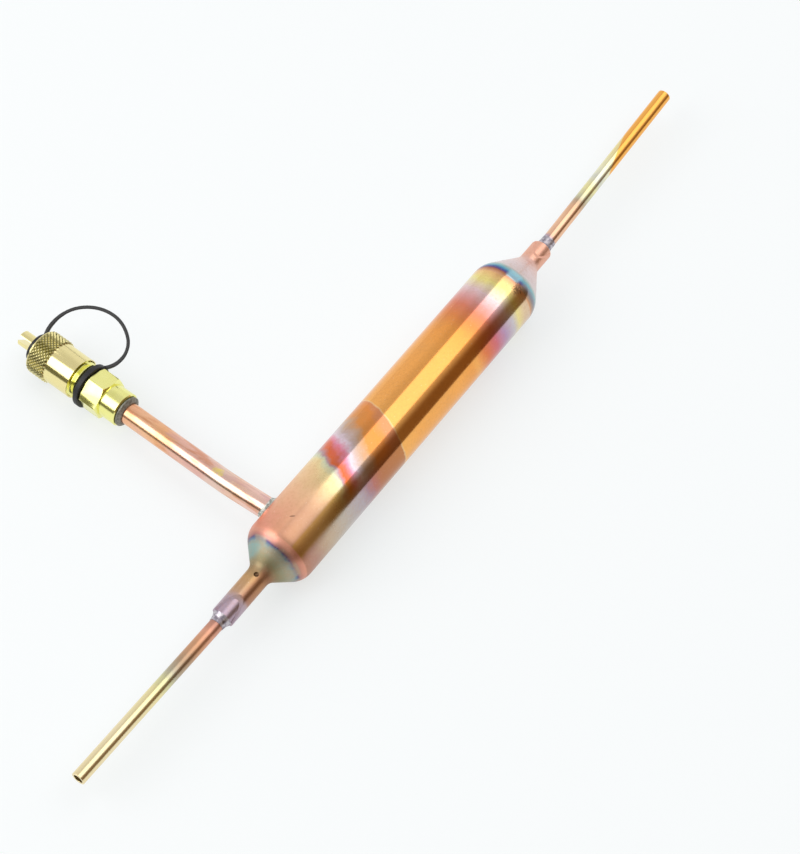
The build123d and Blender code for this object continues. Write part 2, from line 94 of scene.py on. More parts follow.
class Tree:
    """A node tree, with one method for any node and a few for common ones."""

    def __init__(self, tree):
        self.tree = tree

    def plug(self, socket, value):
        if isinstance(value, Value):
            self.tree.links.new(value.socket, socket)
        else:
            socket.default_value = value

    def add(self, kind, settings, *inputs, out=0):
        """Any node: its type, its settings, then its sockets in order."""
        node = self.tree.nodes.new("ShaderNode" + kind)
        for label, value in settings.items():
            if label == "stops":
                stops = node.color_ramp.elements
                while len(stops) < len(value):
                    stops.new(1.0)
                for stop, (place, code) in zip(stops, value):
                    stop.position, stop.color = place, hue(code)
            else:
                setattr(node, label, value)
        sockets = [socket for socket in node.inputs if socket.enabled]
        for socket, value in zip(sockets, inputs):
            self.plug(socket, value)
        return Value(self, [s for s in node.outputs if s.enabled][out])

    def place(self):
        """Object coordinates in millimetres."""
        spot = self.add("TexCoord", {}, out=3)
        return self.add("VectorMath", {"operation": "SCALE"}, spot, 1000.0)

    def axes(self, spot):
        split = self.add("SeparateXYZ", {}, spot).socket.node
        return [Value(self, socket) for socket in split.outputs]

    def noise(self, spot, size, detail=2.0, stretch=(1, 1, 1)):
        """Soft noise round 0.5, in patches about size millimetres across."""
        scale = [1 / (size * share) for share in stretch]
        turned = self.add("Mapping", {}, spot, (0, 0, 0), (0, 0, 0), scale)
        return self.add("TexNoise", {}, turned, 1.0, detail)

    def mix(self, share, first, second):
        return self.add("Mix", {"data_type": "RGBA"}, share, first, second)

    def tints(self, along, start, end, *stops):
        """Colours along a length, each given by its place in millimetres."""
        share = (along - start) / (end - start)
        places = [((place - start) / (end - start), code) for place, code in stops]
        return self.add("ValToRGB", {"stops": places}, share)

    def bump(self, height, depth):
        """Relief, with its depth in millimetres."""
        return self.add("Bump", {}, 1.0, depth * 0.001, height)


class Finish(Tree):
    """A material, which is a tree round one Principled BSDF."""

    def __init__(self, name, **sockets):
        self.material = bpy.data.materials.new(name)
        self.material.use_nodes = True
        super().__init__(self.material.node_tree)
        self.shader = self.tree.nodes["Principled BSDF"]
        self.set(**sockets)

    def set(self, **sockets):
        for label, value in sockets.items():
            self.plug(self.shader.inputs[label.replace("_", " ")], value)

    def dress(self, *names):
        for name in names:
            piece = nodes[name]
            piece.data.materials.clear()
            piece.data.materials.append(self.material)


def hue(code):
    """A colour code such as "c87a52" as linear light."""
    parts = [int(code[i:i + 2], 16) / 255 for i in (0, 2, 4)]
    linear = [p / 12.92 if p < 0.04045 else ((p + 0.055) / 1.055) ** 2.4 for p in parts]
    return (*linear, 1.0)


spun = Finish("spun_copper", Metallic=1.0)
spot = spun.place()
x, y, z = spun.axes(spot)
wobble = spun.noise(spot, 9.0, 3.0) - 0.5
ripple = spun.noise(spot, 2.5, 3.0) - 0.5
slanted = x - y * 0.55 + wobble * 8.0 + ripple * 3.0
oxide = spun.tints(
    slanted, -60, -4,
    (-54, "e8a088"), (-49, "ecaa8c"), (-44, "f0b894"), (-37, "f4c89e"), (-32, "f2d09c"),
    (-29.5, "f0dca4"), (-27.6, "d4d8b8"), (-26.2, "b898a0"), (-24.6, "e46c40"), (-23.2, "e0705c"),
    (-21.6, "e890a8"), (-19.8, "e0ccd8"), (-17.8, "c8b4b0"), (-15.4, "c8a488"), (-13, "e09450"),
    (-9, "ea944c"), (-6, "e09468"),
)
underside = spun.tints(
    x + wobble * 6.0 + ripple * 3.0, -56, -4,
    (-54, "bc7c60"), (-48, "c09484"), (-40, "ccb8a0"), (-34, "c2b8ac"), (-27, "b6aab0"),
    (-24, "ac8c96"), (-21, "b87870"), (-17, "ba7a56"), (-8, "c08050"),
)
oxide = spun.mix(1.0 - y.rise(-8.6, -6.2), oxide, underside)
# Painted reflection: on the inlet half, the band where the dark surround is reflected is tinted a
# darker olive gold.
painted_dark_band = (1.0 - y.rise(-5.0, -4.2)) * y.rise(-8.4, -7.4) * (1.0 - x.rise(-30, -22))
oxide = spun.mix(painted_dark_band * 0.7, oxide, hue("b88820"))
# Painted shade: on the inlet third, the colour is darkened in the band where the overhead lamp's
# highlight falls, which dims that highlight.
painted_strip_shade = (1.0 - y.rise(-0.6, 0.8)) * y.rise(-5.2, -4.4) * (1.0 - x.rise(-42, -30))
oxide = spun.mix(painted_strip_shade * 0.5, oxide, hue("a8806c"))
golden = spun.tints(
    x - y * 0.1 + wobble * 3.0 + ripple * 1.5, -10, 54,
    (-8, "fab866"), (0, "f8b060"), (20, "f9ae5c"), (29, "f4a252"), (33, "e88c50"), (37, "e08468"),
    (40, "e09c98"), (43.5, "e4c6c8"), (46, "ecdcb0"), (47.5, "f0e08c"), (49.5, "f4cc88"),
    (51.5, "e4a878"), (54, "d08c68"),
)
flushed = spun.tints(
    x + wobble * 3.0, 24, 54,
    (27, "f8b060"), (31, "e07c50"), (36, "d0707c"), (40, "b898b8"), (44, "ccc4c8"),
    (46.5, "f0e098"), (49, "e4c8a4"), (54, "d8b8a4"),
)
golden = spun.mix((1.0 - y.rise(-8.8, -6.6)) * x.rise(24, 27), golden, flushed)
film_edge = x - y * 0.3 + wobble * 1.5 + ripple * 0.8 + 4.6
skin = spun.mix(film_edge.rise(-0.15, 0.15), oxide, golden)
outline = film_edge.rise(-0.5, -0.2) * (1.0 - film_edge.rise(0.0, 0.25))
skin = spun.mix(outline * 0.45, skin, hue("ffe0a8"))
ring = x + wobble * 2.0
inlet_end = spun.tints(
    ring, -76, -51,
    (-75.4, "b8a4b4"), (-70.5, "bca8b4"), (-68, "c8a488"), (-63, "cca474"), (-59.5, "9c8868"),
    (-57.5, "9c9474"), (-55.6, "acac94"), (-54.7, "9ca8a0"), (-54.2, "6c88a0"), (-53.8, "685c84"),
    (-53.4, "b07c78"), (-52.4, "d89884"), (-51, "e8a48c"),
)
outlet_end = spun.tints(
    ring, 51, 73,
    (51, "e8b48a"), (52.2, "b87a5c"), (52.8, "74507c"), (53.4, "4468a4"), (54.3, "6cb0c4"),
    (55.2, "a4bcb8"), (56.4, "d8c8c8"), (60, "e2cccb"), (64, "e8c0b4"), (66, "f0b8a0"),
    (73, "f0b8a0"),
)
skin = spun.mix(x.rise(-51.8, -51.2), inlet_end, skin)
skin = spun.mix(x.rise(51.0, 51.6), skin, outlet_end)
# Painted highlight: the outlet's blue ring turns pale teal where the overhead lamp's highlight
# crosses it.
painted_ring_highlight = 1.0 - ((y + 2.4) * (y + 2.4) + ripple * 3.0).rise(1.5, 6.0)
skin = spun.mix(painted_ring_highlight * x.rise(51.8, 52.8) * (1.0 - x.rise(54.8, 55.8)) * 0.75, skin, hue("a8dce8"))
faded = (1.0 - y.rise(-6.5, -4.5)) * x.rise(51.6, 52.2) * (1.0 - x.rise(54.0, 55.0))
skin = spun.mix(faded * 0.55, skin, hue("a8a898"))
broken = spun.noise(spot, 4.0, 3.0).rise(0.4, 0.6) * (1.0 - x.rise(-53.4, -52.8))
skin = spun.mix(broken * x.rise(-56.5, -55.5) * 0.6, skin, hue("b4a890"))
teal = y.rise(1.5, 4.0) * x.rise(-58.5, -57.0) * (1.0 - x.rise(-55.2, -54.6))
skin = spun.mix(teal * 0.55, skin, hue("88b8bc"))
# The inlet neck and cone are browner on their −y side.
neck_browner_side = (1.0 - y.rise(-1.8, -0.2)) * x.rise(-69.5, -68.5) * (1.0 - x.rise(-60, -57))
skin = spun.mix(neck_browner_side * 0.55, skin, hue("a86850"))
speckle = spun.noise(spot, 0.45, 3.0)
skin = spun.mix(speckle.rise(0.62, 0.78) * 0.25, skin, hue("fff4e4"))
mottle = spun.noise(spot, 0.8, 5.0)
skin = spun.mix(mottle.rise(0.4, 0.75) * 0.16, skin, hue("c08450"))
skin = spun.mix(wobble.rise(0.0, 0.3) * 0.2, skin, hue("c89868"))
# The nick and the pit are dark marks on the copper. The dimple's dark spot is painted shade in the
# dent.
dimple = (x + 61.2) * (x + 61.2) + (y + 0.4) * (y + 0.4)
nick = (x + y * 0.8 + 44.4) * (x + y * 0.8 + 44.4) * 9.0 + (y - 0.2) * (y - 0.2) * 2.0
pit = (x - 51.0) * (x - 51.0) * 0.5 + (y + 5.3) * (y + 5.3) + ripple * 2.0 + speckle * 8.0 - 3.6
above = z.rise(0.0, 0.5)
marks_and_dent_shade = (1.0 - dimple.rise(0.3, 0.6)) * 0.8 + (1.0 - nick.rise(0.3, 1.0)) * 0.6
marks_and_dent_shade = (marks_and_dent_shade + (1.0 - pit.rise(0.2, 2.2)) * 0.6) * above
skin = spun.mix(marks_and_dent_shade, skin, hue("4a3226"))
matte = 1.0 - slanted.rise(-40, -22)
satin = matte * 0.26 - (1.0 - x.rise(-62, -60)) * 0.14
cones = 1.0 - x.rise(-56, -53) + x.rise(55, 58)
grain = spun.noise(spot, 0.35, 2.0, (8, 1, 1))
spun.set(
    Base_Color=skin,
    Roughness=0.1 + satin + cones * 0.12 + x.rise(62, 65) * 0.16 + speckle * 0.06,
    Normal=spun.bump(grain + speckle, 0.006),
)
spun.dress("drier_shell")

# ---------------------------------------------------------------------------
# Inlet tube: 4 mm drawn copper tube, brazed in the crimped neck. It is red
# by the joint, then olive, and yellow where the torch never reached.

inlet = Finish("inlet_tube_copper", Metallic=1.0)
spot = inlet.place()
x, y, z = inlet.axes(spot)
drift = x + (inlet.noise(spot, 5.0) - 0.5) * 6.0
colour = inlet.tints(
    drift, -134, -72,
    (-134, "f0deb0"), (-116, "f2e2b8"), (-103, "eee0a8"), (-99.5, "d8d4a4"), (-96.5, "bcb49c"),
    (-92, "b89c80"), (-86, "d4a07c"), (-82, "e0a488"), (-78.5, "c08c7c"), (-72, "b8a0a0"),
)
drawn = inlet.noise(spot, 0.3, 2.0, (14, 1, 1))
inlet.set(
    Base_Color=colour,
    Roughness=0.2 + drawn * 0.08 + x.rise(-104, -84) * 0.12,
    Normal=inlet.bump(drawn, 0.004),
)
inlet.dress("inlet_tube")

# ---------------------------------------------------------------------------
# Outlet tube: the same 4 mm tube at the other end. Pink copper at the joint
# turns pale yellow, then amber past a sharp slanting edge.

outlet = Finish("outlet_tube_copper", Metallic=1.0)
spot = outlet.place()
x, y, z = outlet.axes(spot)
drift = x + (outlet.noise(spot, 5.0) - 0.5) * 5.0
colour = outlet.tints(
    drift, 70, 118,
    (70, "b0a0b0"), (74.8, "b0a0b8"), (76.2, "ecbc9c"), (82, "f4c4a0"), (88, "e8b894"),
    (91, "c4ac90"), (93.5, "d0ccac"), (96, "eee4a8"), (100, "dcdccc"), (104, "f0ecc8"),
    (110, "f2e4a8"), (118, "f2dc9c"),
)
amber = (x - y * 3.3).rise(106.8, 107.8)
drawn = outlet.noise(spot, 0.3, 2.0, (14, 1, 1))
outlet.set(
    Base_Color=outlet.mix(amber, colour, hue("fab458")),
    Roughness=0.17 + drawn * 0.07,
    Normal=outlet.bump(drawn, 0.004),
)
outlet.dress("outlet_tube")

# ---------------------------------------------------------------------------
# End brazes: filler drawn out over each tube where it leaves the neck. It
# has cooled to a dull silver film with a purple cast.

filler = Finish("silver_braze", Metallic=1.0)
spot = filler.place()
lumps = filler.noise(spot, 0.9, 3.0)
filler.set(
    Base_Color=filler.mix(lumps.rise(0.35, 0.65), hue("8c8490"), hue("cdc6cc")),
    Roughness=0.28 + lumps * 0.2,
    Normal=filler.bump(lumps, 0.05),
)
filler.dress("inlet_braze", "outlet_braze")

# ---------------------------------------------------------------------------
# Branch tube: quarter-inch copper tube let into the shell's side, with a
# slight elbow. It is clean pink copper, and its braze is rough and grey.

branch = Finish("branch_tube_copper", Metallic=1.0)
spot = branch.place()
x, y, z = branch.axes(spot)
clouds = branch.noise(spot, 5.0, 3.0)
streaks = branch.noise(spot, 1.6, 4.0, (1, 6, 1))
drift = y + (clouds - 0.5) * 12.0
colour = branch.tints(
    drift, 8, 68,
    (8, "f0c4bc"), (16, "f4ccbc"), (21, "f0c4ac"), (27, "eccebe"), (33, "ecbcac"), (42, "eebca8"),
    (47, "f4b888"), (53, "f8c49c"), (60, "f4b890"), (68, "f0b8a4"),
)
colour = branch.mix(streaks.rise(0.52, 0.66) * 0.55, colour, hue("d88c5c"))
colour = branch.mix(streaks.rise(0.46, 0.34) * 0.4, colour, hue("d8a8a8"))
ragged = (branch.noise(spot, 1.2, 3.0) - 0.5) * 5.0
blot = (y - 27.4) * (y - 27.4) * 0.6 + (x + 41.8) * (x + 41.8) + ragged
colour = branch.mix((1.0 - blot.rise(0.2, 2.0)) * 0.8, colour, hue("f6e07c"))
drawn = branch.noise(spot, 0.35, 2.0, (1, 14, 1))
branch.set(Base_Color=colour, Roughness=0.19 + drawn * 0.08, Normal=branch.bump(drawn, 0.005))
branch.dress("branch_tube")

flux = Finish("fluxed_braze", Metallic=1.0)
spot = flux.place()
lumps = flux.noise(spot, 0.8, 4.0)
flux.set(
    Base_Color=flux.mix(lumps.rise(0.35, 0.7), hue("989a90"), hue("ece8e0")),
    Roughness=0.25 + lumps * 0.25,
    Normal=flux.bump(lumps, 0.12),
)
flux.dress("branch_braze")

# ---------------------------------------------------------------------------
# Access valve: turned from hexagon brass bar, with a socket for the branch
# tube, a relief neck for the strap and a 7/16-20 thread below a flare nose.
# A dull grey ring of filler closes the socket.

branch_x, branch_elbow_at, branch_elbow = -42.0, 24.0, radians(-3.5)
shell_r, knurl_r, cap_end, cap_edge_bevel = 10.0, 6.7, 93.0, 0.45
slope = asin((shell_r - knurl_r) / (cap_end - cap_edge_bevel))
branch_dir = Vector((0, cos(slope), -sin(slope)))
valve_dir = Matrix.Rotation(branch_elbow, 3, "Z") @ branch_dir
valve_out = Vector((cos(branch_elbow), sin(branch_elbow), 0))
valve_up = valve_out.cross(valve_dir)
valve_start = Vector((branch_x, 0, 0)) + (branch_dir - valve_dir) * branch_elbow_at
valve_place = Matrix.Translation(valve_start * 0.001) @ Matrix(
    (valve_up, valve_dir.cross(valve_up), valve_dir)
).transposed().to_4x4()


def settle(piece, place=valve_place):
    """Puts a piece drawn about z in its place, with the place in its mesh."""
    piece.data.transform(place @ piece.matrix_world)
    piece.matrix_world = Matrix.Identity(4)
    bpy.ops.object.select_all(action="DESELECT")
    piece.select_set(True)
    bpy.context.view_layer.objects.active = piece
    bpy.ops.object.shade_smooth_by_angle(angle=radians(32))
    return piece


def turned(name, rings, sides=72, closed=False):
    """A form turned about z, through rings given by radius and height."""
    bpy.ops.object.select_all(action="DESELECT")
    radius, height = rings[0]
    bpy.ops.mesh.primitive_circle_add(
        vertices=sides, radius=radius * 0.001, location=(0, 0, height * 0.001),
        fill_type="NOTHING" if closed else "NGON",
    )
    piece = bpy.context.object
    piece.name = name
    bpy.ops.object.transform_apply()
    bpy.ops.object.mode_set(mode="EDIT")
    bpy.ops.mesh.select_all(action="SELECT")
    for (radius, height), (next_radius, next_height) in zip(rings, rings[1:]):
        rise = (0, 0, (next_height - height) * 0.001)
        bpy.ops.mesh.extrude_region_move(TRANSFORM_OT_translate={"value": rise})
        share = next_radius / radius
        bpy.ops.transform.resize(
            value=(share, share, 1), center_override=(0, 0, next_height * 0.001)
        )
    bpy.ops.mesh.select_all(action="SELECT")
    bpy.ops.mesh.remove_doubles(threshold=1e-6)
    bpy.ops.mesh.normals_make_consistent(inside=False)
    bpy.ops.object.mode_set(mode="OBJECT")
    return piece


def joined(piece, *others):
    bpy.ops.object.select_all(action="DESELECT")
    for other in (piece, *others):
        other.select_set(True)
    bpy.context.view_layer.objects.active = piece
    bpy.ops.object.join()
    return piece


def cut(piece, tool, operation="DIFFERENCE"):
    """Cuts a piece with a tool, or keeps what both share, and drops the tool."""
    bpy.ops.object.select_all(action="DESELECT")
    bpy.context.view_layer.objects.active = piece
    shaper = piece.modifiers.new("shaper", "BOOLEAN")
    shaper.operation, shaper.object, shaper.solver = operation, tool, "EXACT"
    bpy.ops.object.modifier_apply(modifier="shaper")
    bpy.data.objects.remove(tool)
    return piece


valve_foot, hex_start, hex_end = 61.6, 67.3, 73.4
thread_start, thread_end, valve_tip = 75.5, 87.5, 89.4
socket_end, throat_end, chamber_end, core_seat = 67.65, 70.05, 80.5, 81.0
barrel_r, flare_tip_r, barrel_edge, overlap = 5.0, 3.6, 0.3, 0.1
socket_r, throat_r, chamber_r, core_bore_r = 3.225, 1.7, 2.25, 2.72
thread_r, thread_root = 5.555, 4.704
body = turned("valve_body_turned", [
    (socket_r, valve_foot), (barrel_r - barrel_edge, valve_foot),
    (barrel_r, valve_foot + barrel_edge), (barrel_r, hex_start + overlap),
    (thread_root, hex_end - overlap), (thread_root, thread_end), (flare_tip_r, valve_tip),
    (core_bore_r, valve_tip), (core_bore_r, core_seat), (chamber_r, chamber_end),
    (chamber_r, throat_end), (throat_r, throat_end), (throat_r, socket_end),
    (socket_r, socket_end), (socket_r, valve_foot),
], closed=True)

# The hexagon is a ring whose hole is hidden in the turned body's wall, so that
# its ends don't close the socket or the bore.
hex_corner_r, hex_bevel, bevel_slope, hex_hole_r, hex_turn = 6.414, 0.75, 0.577, 4.0, -43
crown = hex_bevel * bevel_slope
bpy.ops.object.select_all(action="DESELECT")
bpy.ops.mesh.primitive_cylinder_add(
    vertices=6, radius=hex_corner_r * 0.001, depth=(hex_end - hex_start) * 0.001,
    location=(0, 0, (hex_start + hex_end) / 2 * 0.001), rotation=(0, 0, radians(hex_turn)),
)
hexagon = cut(bpy.context.object, turned("crown", [
    (hex_hole_r, hex_start), (hex_corner_r - hex_bevel, hex_start),
    (hex_corner_r, hex_start + crown), (hex_corner_r, hex_end - crown),
    (hex_corner_r - hex_bevel, hex_end), (hex_hole_r, hex_end), (hex_hole_r, hex_start),
], closed=True), "INTERSECT")

# The thread is a strip with a tooth's outline, wound into a helix. Its crests
# sink into the body at both ends.
thread_pitch, thread_turns, thread_steps = 1.27, 11, 64
flank, crest, root = 0.5, 0.13, 0.14
thread_run_in, thread_sunk = 0.9, 0.05
bpy.ops.object.select_all(action="DESELECT")
bpy.ops.mesh.primitive_plane_add(size=0.001)
thread = bpy.context.object
bpy.ops.object.mode_set(mode="EDIT")
bpy.ops.mesh.select_all(action="SELECT")
bpy.ops.mesh.merge(type="CENTER")
run_in = (thread_root * 0.001, 0, (thread_start - thread_run_in) * 0.001)
bpy.ops.transform.translate(value=run_in)
thread_depth = thread_r - thread_root
for out, along in (thread_depth, flank), (0, crest), (-thread_depth, flank), (0, root):
    step = (out * 0.001, 0, along * 0.001)
    bpy.ops.mesh.extrude_region_move(TRANSFORM_OT_translate={"value": step})
bpy.ops.object.mode_set(mode="OBJECT")
helix = thread.modifiers.new("helix", "SCREW")
helix.screw_offset, helix.iterations = thread_pitch * 0.001, thread_turns
helix.steps = helix.render_steps = thread_steps
helix.use_merge_vertices = True
bpy.ops.object.modifier_apply(modifier="helix")
for vertex in thread.data.vertices:
    height = vertex.co.z * 1000
    lead = min(height - thread_start, thread_end - height)
    limit = thread_root + min(max(lead, -thread_sunk), thread_depth)
    radius = hypot(vertex.co.x, vertex.co.y) * 1000
    if radius > limit:
        vertex.co.x *= limit / radius
        vertex.co.y *= limit / radius
body = joined(body, hexagon, thread)
body.name = "access_valve_body"
settle(body)
lemon = Finish("valve_brass", Metallic=1.0)
spot = lemon.place()
turning = lemon.noise(spot, 0.12, 2.0, (9, 1, 9))
clouds = lemon.noise(spot, 3.0)
lemon.set(
    Base_Color=lemon.mix(clouds, hue("f2ee8e"), hue("fbf8a8")),
    Roughness=0.14 + turning * 0.08,
    Normal=lemon.bump(turning, 0.004),
)
body.data.materials.append(lemon.material)
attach(body, "root")
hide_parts("valve_body")

solder = Finish("valve_solder", Metallic=0.6)
spot = solder.place()
lumps = solder.noise(spot, 0.7, 4.0)
solder.set(
    Base_Color=solder.mix(lumps.rise(0.3, 0.7), hue("6c6b62"), hue("9c9a90")),
    Roughness=0.42 + lumps * 0.25,
    Normal=solder.bump(lumps, 0.08),
)
solder.dress("valve_braze")

# ---------------------------------------------------------------------------
# Valve core: a spring-loaded pin in a brass barrel, held by a threaded plug
# with two tangs. A white tapered gasket seals it in the valve, and a black
# washer in a brass cup shuts its foot.

machined = Finish("core_brass", Metallic=1.0)
spot = machined.place()
turning = machined.noise(spot, 0.1, 2.0, (6, 1, 6))
machined.set(
    Base_Color=machined.mix(turning, hue("c9b266"), hue("dcc880")),
    Roughness=0.22 + turning * 0.1,
    Normal=machined.bump(turning, 0.003),
)
machined.dress("core_plug", "core_barrel", "core_pin", "core_cup")

white = Finish("gasket_plastic")
spot = white.place()
cloud = white.noise(spot, 0.5)
white.set(Base_Color=white.mix(cloud, hue("e6e3da"), hue("f2f0ea")), Roughness=0.4 + cloud * 0.1)
white.dress("core_gasket")

black = Finish("seal_rubber")
spot = black.place()
cloud = black.noise(spot, 0.3, 4.0)
black.set(
    Base_Color=black.mix(cloud, hue("1c1c1d"), hue("2b2b2c")),
    Roughness=0.55 + cloud * 0.15,
    Normal=black.bump(cloud, 0.01),
)
black.dress("core_seal", "cap_gasket")

spring_foot, spring_rise, spring_turns, spring_steps = 76.67, 5.51, 6, 20
spring_r, spring_wire_r, spring_wire_sides = 0.95, 0.15, 10
bpy.ops.object.select_all(action="DESELECT")
bpy.ops.mesh.primitive_circle_add(
    vertices=spring_wire_sides, radius=spring_wire_r * 0.001, rotation=(radians(90), 0, 0),
    location=(spring_r * 0.001, 0, spring_foot * 0.001),
)
spring = bpy.context.object
spring.name = "core_coil"
bpy.ops.object.transform_apply()
coil = spring.modifiers.new("coil", "SCREW")
coil.screw_offset, coil.iterations = spring_rise / spring_turns * 0.001, spring_turns
coil.steps = coil.render_steps = spring_steps
bpy.ops.object.modifier_apply(modifier="coil")
bpy.ops.object.mode_set(mode="EDIT")
bpy.ops.mesh.select_all(action="SELECT")
bpy.ops.mesh.remove_doubles(threshold=1e-7)
bpy.ops.mesh.select_all(action="DESELECT")
bpy.ops.mesh.select_non_manifold()
bpy.ops.mesh.fill_holes(sides=spring_wire_sides)
bpy.ops.mesh.select_all(action="SELECT")
bpy.ops.mesh.normals_make_consistent(inside=False)
bpy.ops.object.mode_set(mode="OBJECT")
settle(spring)
steel = Finish("spring_steel", Metallic=1.0)
spot = steel.place()
drawn = steel.noise(spot, 0.08)
steel.set(Base_Color=steel.mix(drawn, hue("9c9c9c"), hue("c4c4c4")), Roughness=0.25 + drawn * 0.1)
spring.data.materials.append(steel.material)
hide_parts("core_spring")
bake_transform(spring)

# ---------------------------------------------------------------------------
# Cap: turned brass with a diamond-knurled head, a black gasket inside and a
# slotted prong that is the key for the valve core. It screws down the thread.

cap_mouth, knurl_start, skirt_r, cap_bore_r, ceiling = 78.2, 86.4, 6.1, 5.61, 91.2
mouth_bevel, ceiling_hole_r, boss_r, boss_top = 0.245, 0.5, 2.8, 93.8
prong_tip, prong_r, prong_edge, prong_turn = 100.3, 2.3, 0.3, -42
groove_r, groove_top, groove_edge, slot_width, slot_depth = 2.0, 95.1, 0.3, 1.5, 4.6
knurl_rows, knurl_columns, knurl_depth, knurl_lead = 10, 68, 0.42, 0.5
knurl_low, knurl_high = knurl_start + knurl_lead, cap_end - cap_edge_bevel
knurl = [
    (knurl_r, knurl_low + (knurl_high - knurl_low) * row / knurl_rows)
    for row in range(knurl_rows + 1)
]
cap = turned("valve_cap_turned", [
    (groove_r, prong_tip), (prong_r, prong_tip - prong_edge),
    (prong_r, groove_top + groove_edge), (groove_r, groove_top), (groove_r, boss_top),
    (boss_r, boss_top), (boss_r, cap_end), (knurl_r - cap_edge_bevel, cap_end),
    *reversed(knurl), (skirt_r, knurl_start), (skirt_r, cap_mouth),
    (cap_bore_r + mouth_bevel, cap_mouth), (cap_bore_r, cap_mouth + mouth_bevel),
    (cap_bore_r, ceiling), (ceiling_hole_r, ceiling),
], sides=knurl_columns)
bpy.ops.object.mode_set(mode="EDIT")
bpy.ops.mesh.select_all(action="DESELECT")
bpy.ops.object.mode_set(mode="OBJECT")
for vertex in cap.data.vertices:
    height, radius = vertex.co.z * 1000, hypot(vertex.co.x, vertex.co.y) * 1000
    if radius > knurl_r - 0.01:
        row = round((height - knurl_low) / (knurl_high - knurl_low) * knurl_rows)
        column = round(atan2(vertex.co.y, vertex.co.x) / radians(360) * knurl_columns)
        vertex.select = (row + column) % 2 == 1
bpy.ops.object.mode_set(mode="EDIT")
share = 1 - knurl_depth / knurl_r
bpy.ops.transform.resize(value=(share, share, 1), center_override=(0, 0, 0))
bpy.ops.mesh.select_all(action="DESELECT")
bpy.ops.object.mode_set(mode="OBJECT")
for face in cap.data.polygons:
    face.select = hypot(face.center.x, face.center.y) * 1000 > knurl_r - knurl_depth
bpy.ops.object.mode_set(mode="EDIT")
bpy.ops.mesh.quads_convert_to_tris(quad_method="SHORTEST_DIAGONAL")
bpy.ops.object.mode_set(mode="OBJECT")
bpy.ops.object.select_all(action="DESELECT")
bpy.ops.mesh.primitive_cube_add(
    size=0.001, location=(0, 0, prong_tip * 0.001), rotation=(0, 0, radians(prong_turn)),
    scale=(2 * prong_r + 1, slot_width, 2 * slot_depth),
)
cap = cut(cap, bpy.context.object)
cap.name = "access_valve_cap"
# The knurl's pushed-in points are marked, so that the colour can darken in its grooves.
groove = cap.data.attributes.new("groove", "FLOAT", "POINT")
for vertex, mark in zip(cap.data.vertices, groove.data):
    radius = hypot(vertex.co.x, vertex.co.y) * 1000
    pushed_in = knurl_r - knurl_depth - 0.01 < radius < knurl_r - 0.1
    mark.value = pushed_in and vertex.co.z * 1000 > knurl_low
settle(cap)
tan_brass = Finish("cap_brass", Metallic=1.0)
spot = tan_brass.place()
turning = tan_brass.noise(spot, 0.12, 2.0, (9, 1, 9))
# Dirt and painted shade: the knurl's grooves are darkened to olive brown.
soil_and_groove_shade = tan_brass.add("Attribute", {"attribute_name": "groove"}, out=2) * 0.85
clean = tan_brass.mix(turning, hue("f0e09c"), hue("f8ecb0"))
tan_brass.set(
    Base_Color=tan_brass.mix(soil_and_groove_shade, clean, hue("7c7a48")),
    Roughness=0.11 + turning * 0.08,
    Normal=tan_brass.bump(turning, 0.004),
)
cap.data.materials.append(tan_brass.material)
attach(cap, "cap")
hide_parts("valve_cap")

# ---------------------------------------------------------------------------
# Retaining strap: one black rubber moulding. Its wide ring sits in the
# valve's relief neck, its small ring in the prong's groove, and the thin band
# between them bows out to one side. The real band stretches as the cap is
# unscrewed.


def washer(name, hole_r, rim_r, low, high):
    """A flat ring about z, from its two radii and its two heights."""
    corners = (hole_r, low), (rim_r, low), (rim_r, high), (hole_r, high), (hole_r, low)
    return turned(name, corners, closed=True)


neck_ring = washer("neck_ring", 4.8, 6.6, 73.7, 75.3)
tip_ring = washer("tip_ring", 2.1, 4.3, 93.9, 95.0)
strap_thickness, strap_width, tab_width, strap_turn = 1.3, 2.1, 4.4, 63.6
taper_start, taper_length, bends = 7.7, 5.35, 8
line = [(3.2, 94.45), (7.6, 95.2), (15.6, 91.2), (19.5, 81.83), (16.58, 73.37), (11.41, 71.3),
        (6.05, 74.4)]
heading, width = radians(24), tab_width
out, height = line[0]
bpy.ops.object.select_all(action="DESELECT")
bpy.ops.mesh.primitive_plane_add(
    size=0.001, location=(out * 0.001, 0, height * 0.001), rotation=(0, radians(90) - heading, 0),
    scale=(strap_thickness, width, 1),
)
strap = bpy.context.object
bpy.ops.object.transform_apply()
bpy.ops.object.mode_set(mode="EDIT")
bpy.ops.mesh.select_all(action="SELECT")
for next_out, next_height in line[1:]:
    run = Vector((next_out - out, next_height - height))
    turn = (2 * (atan2(run.y, run.x) - heading) + radians(180)) % radians(360) - radians(180)
    bend = turn / bends
    reach = run.length * sin(bend / 2) / sin(turn / 2)
    for _ in range(bends):
        step = Vector((cos(heading + bend / 2), sin(heading + bend / 2))) * reach
        heading, out, height = heading + bend, out + step.x, height + step.y
        bpy.ops.mesh.extrude_region_move(
            TRANSFORM_OT_translate={"value": (step.x * 0.001, 0, step.y * 0.001)}
        )
        here = (out * 0.001, 0, height * 0.001)
        bpy.ops.transform.rotate(value=bend, orient_axis="Y", center_override=here)
        narrowed = min(max((out - taper_start) / taper_length, 0), 1)
        next_width = tab_width + (strap_width - tab_width) * narrowed
        bpy.ops.transform.resize(value=(1, next_width / width, 1), center_override=here)
        width = next_width
bpy.ops.mesh.select_all(action="SELECT")
bpy.ops.mesh.normals_make_consistent(inside=False)
bpy.ops.object.mode_set(mode="OBJECT")
strap = joined(strap, neck_ring, tip_ring)
strap.name = "retaining_strap"
moulded = strap.modifiers.new("moulded", "REMESH")
moulded.mode, moulded.voxel_size, moulded.use_smooth_shade = "VOXEL", 0.00014, True
softened = strap.modifiers.new("softened", "SMOOTH")
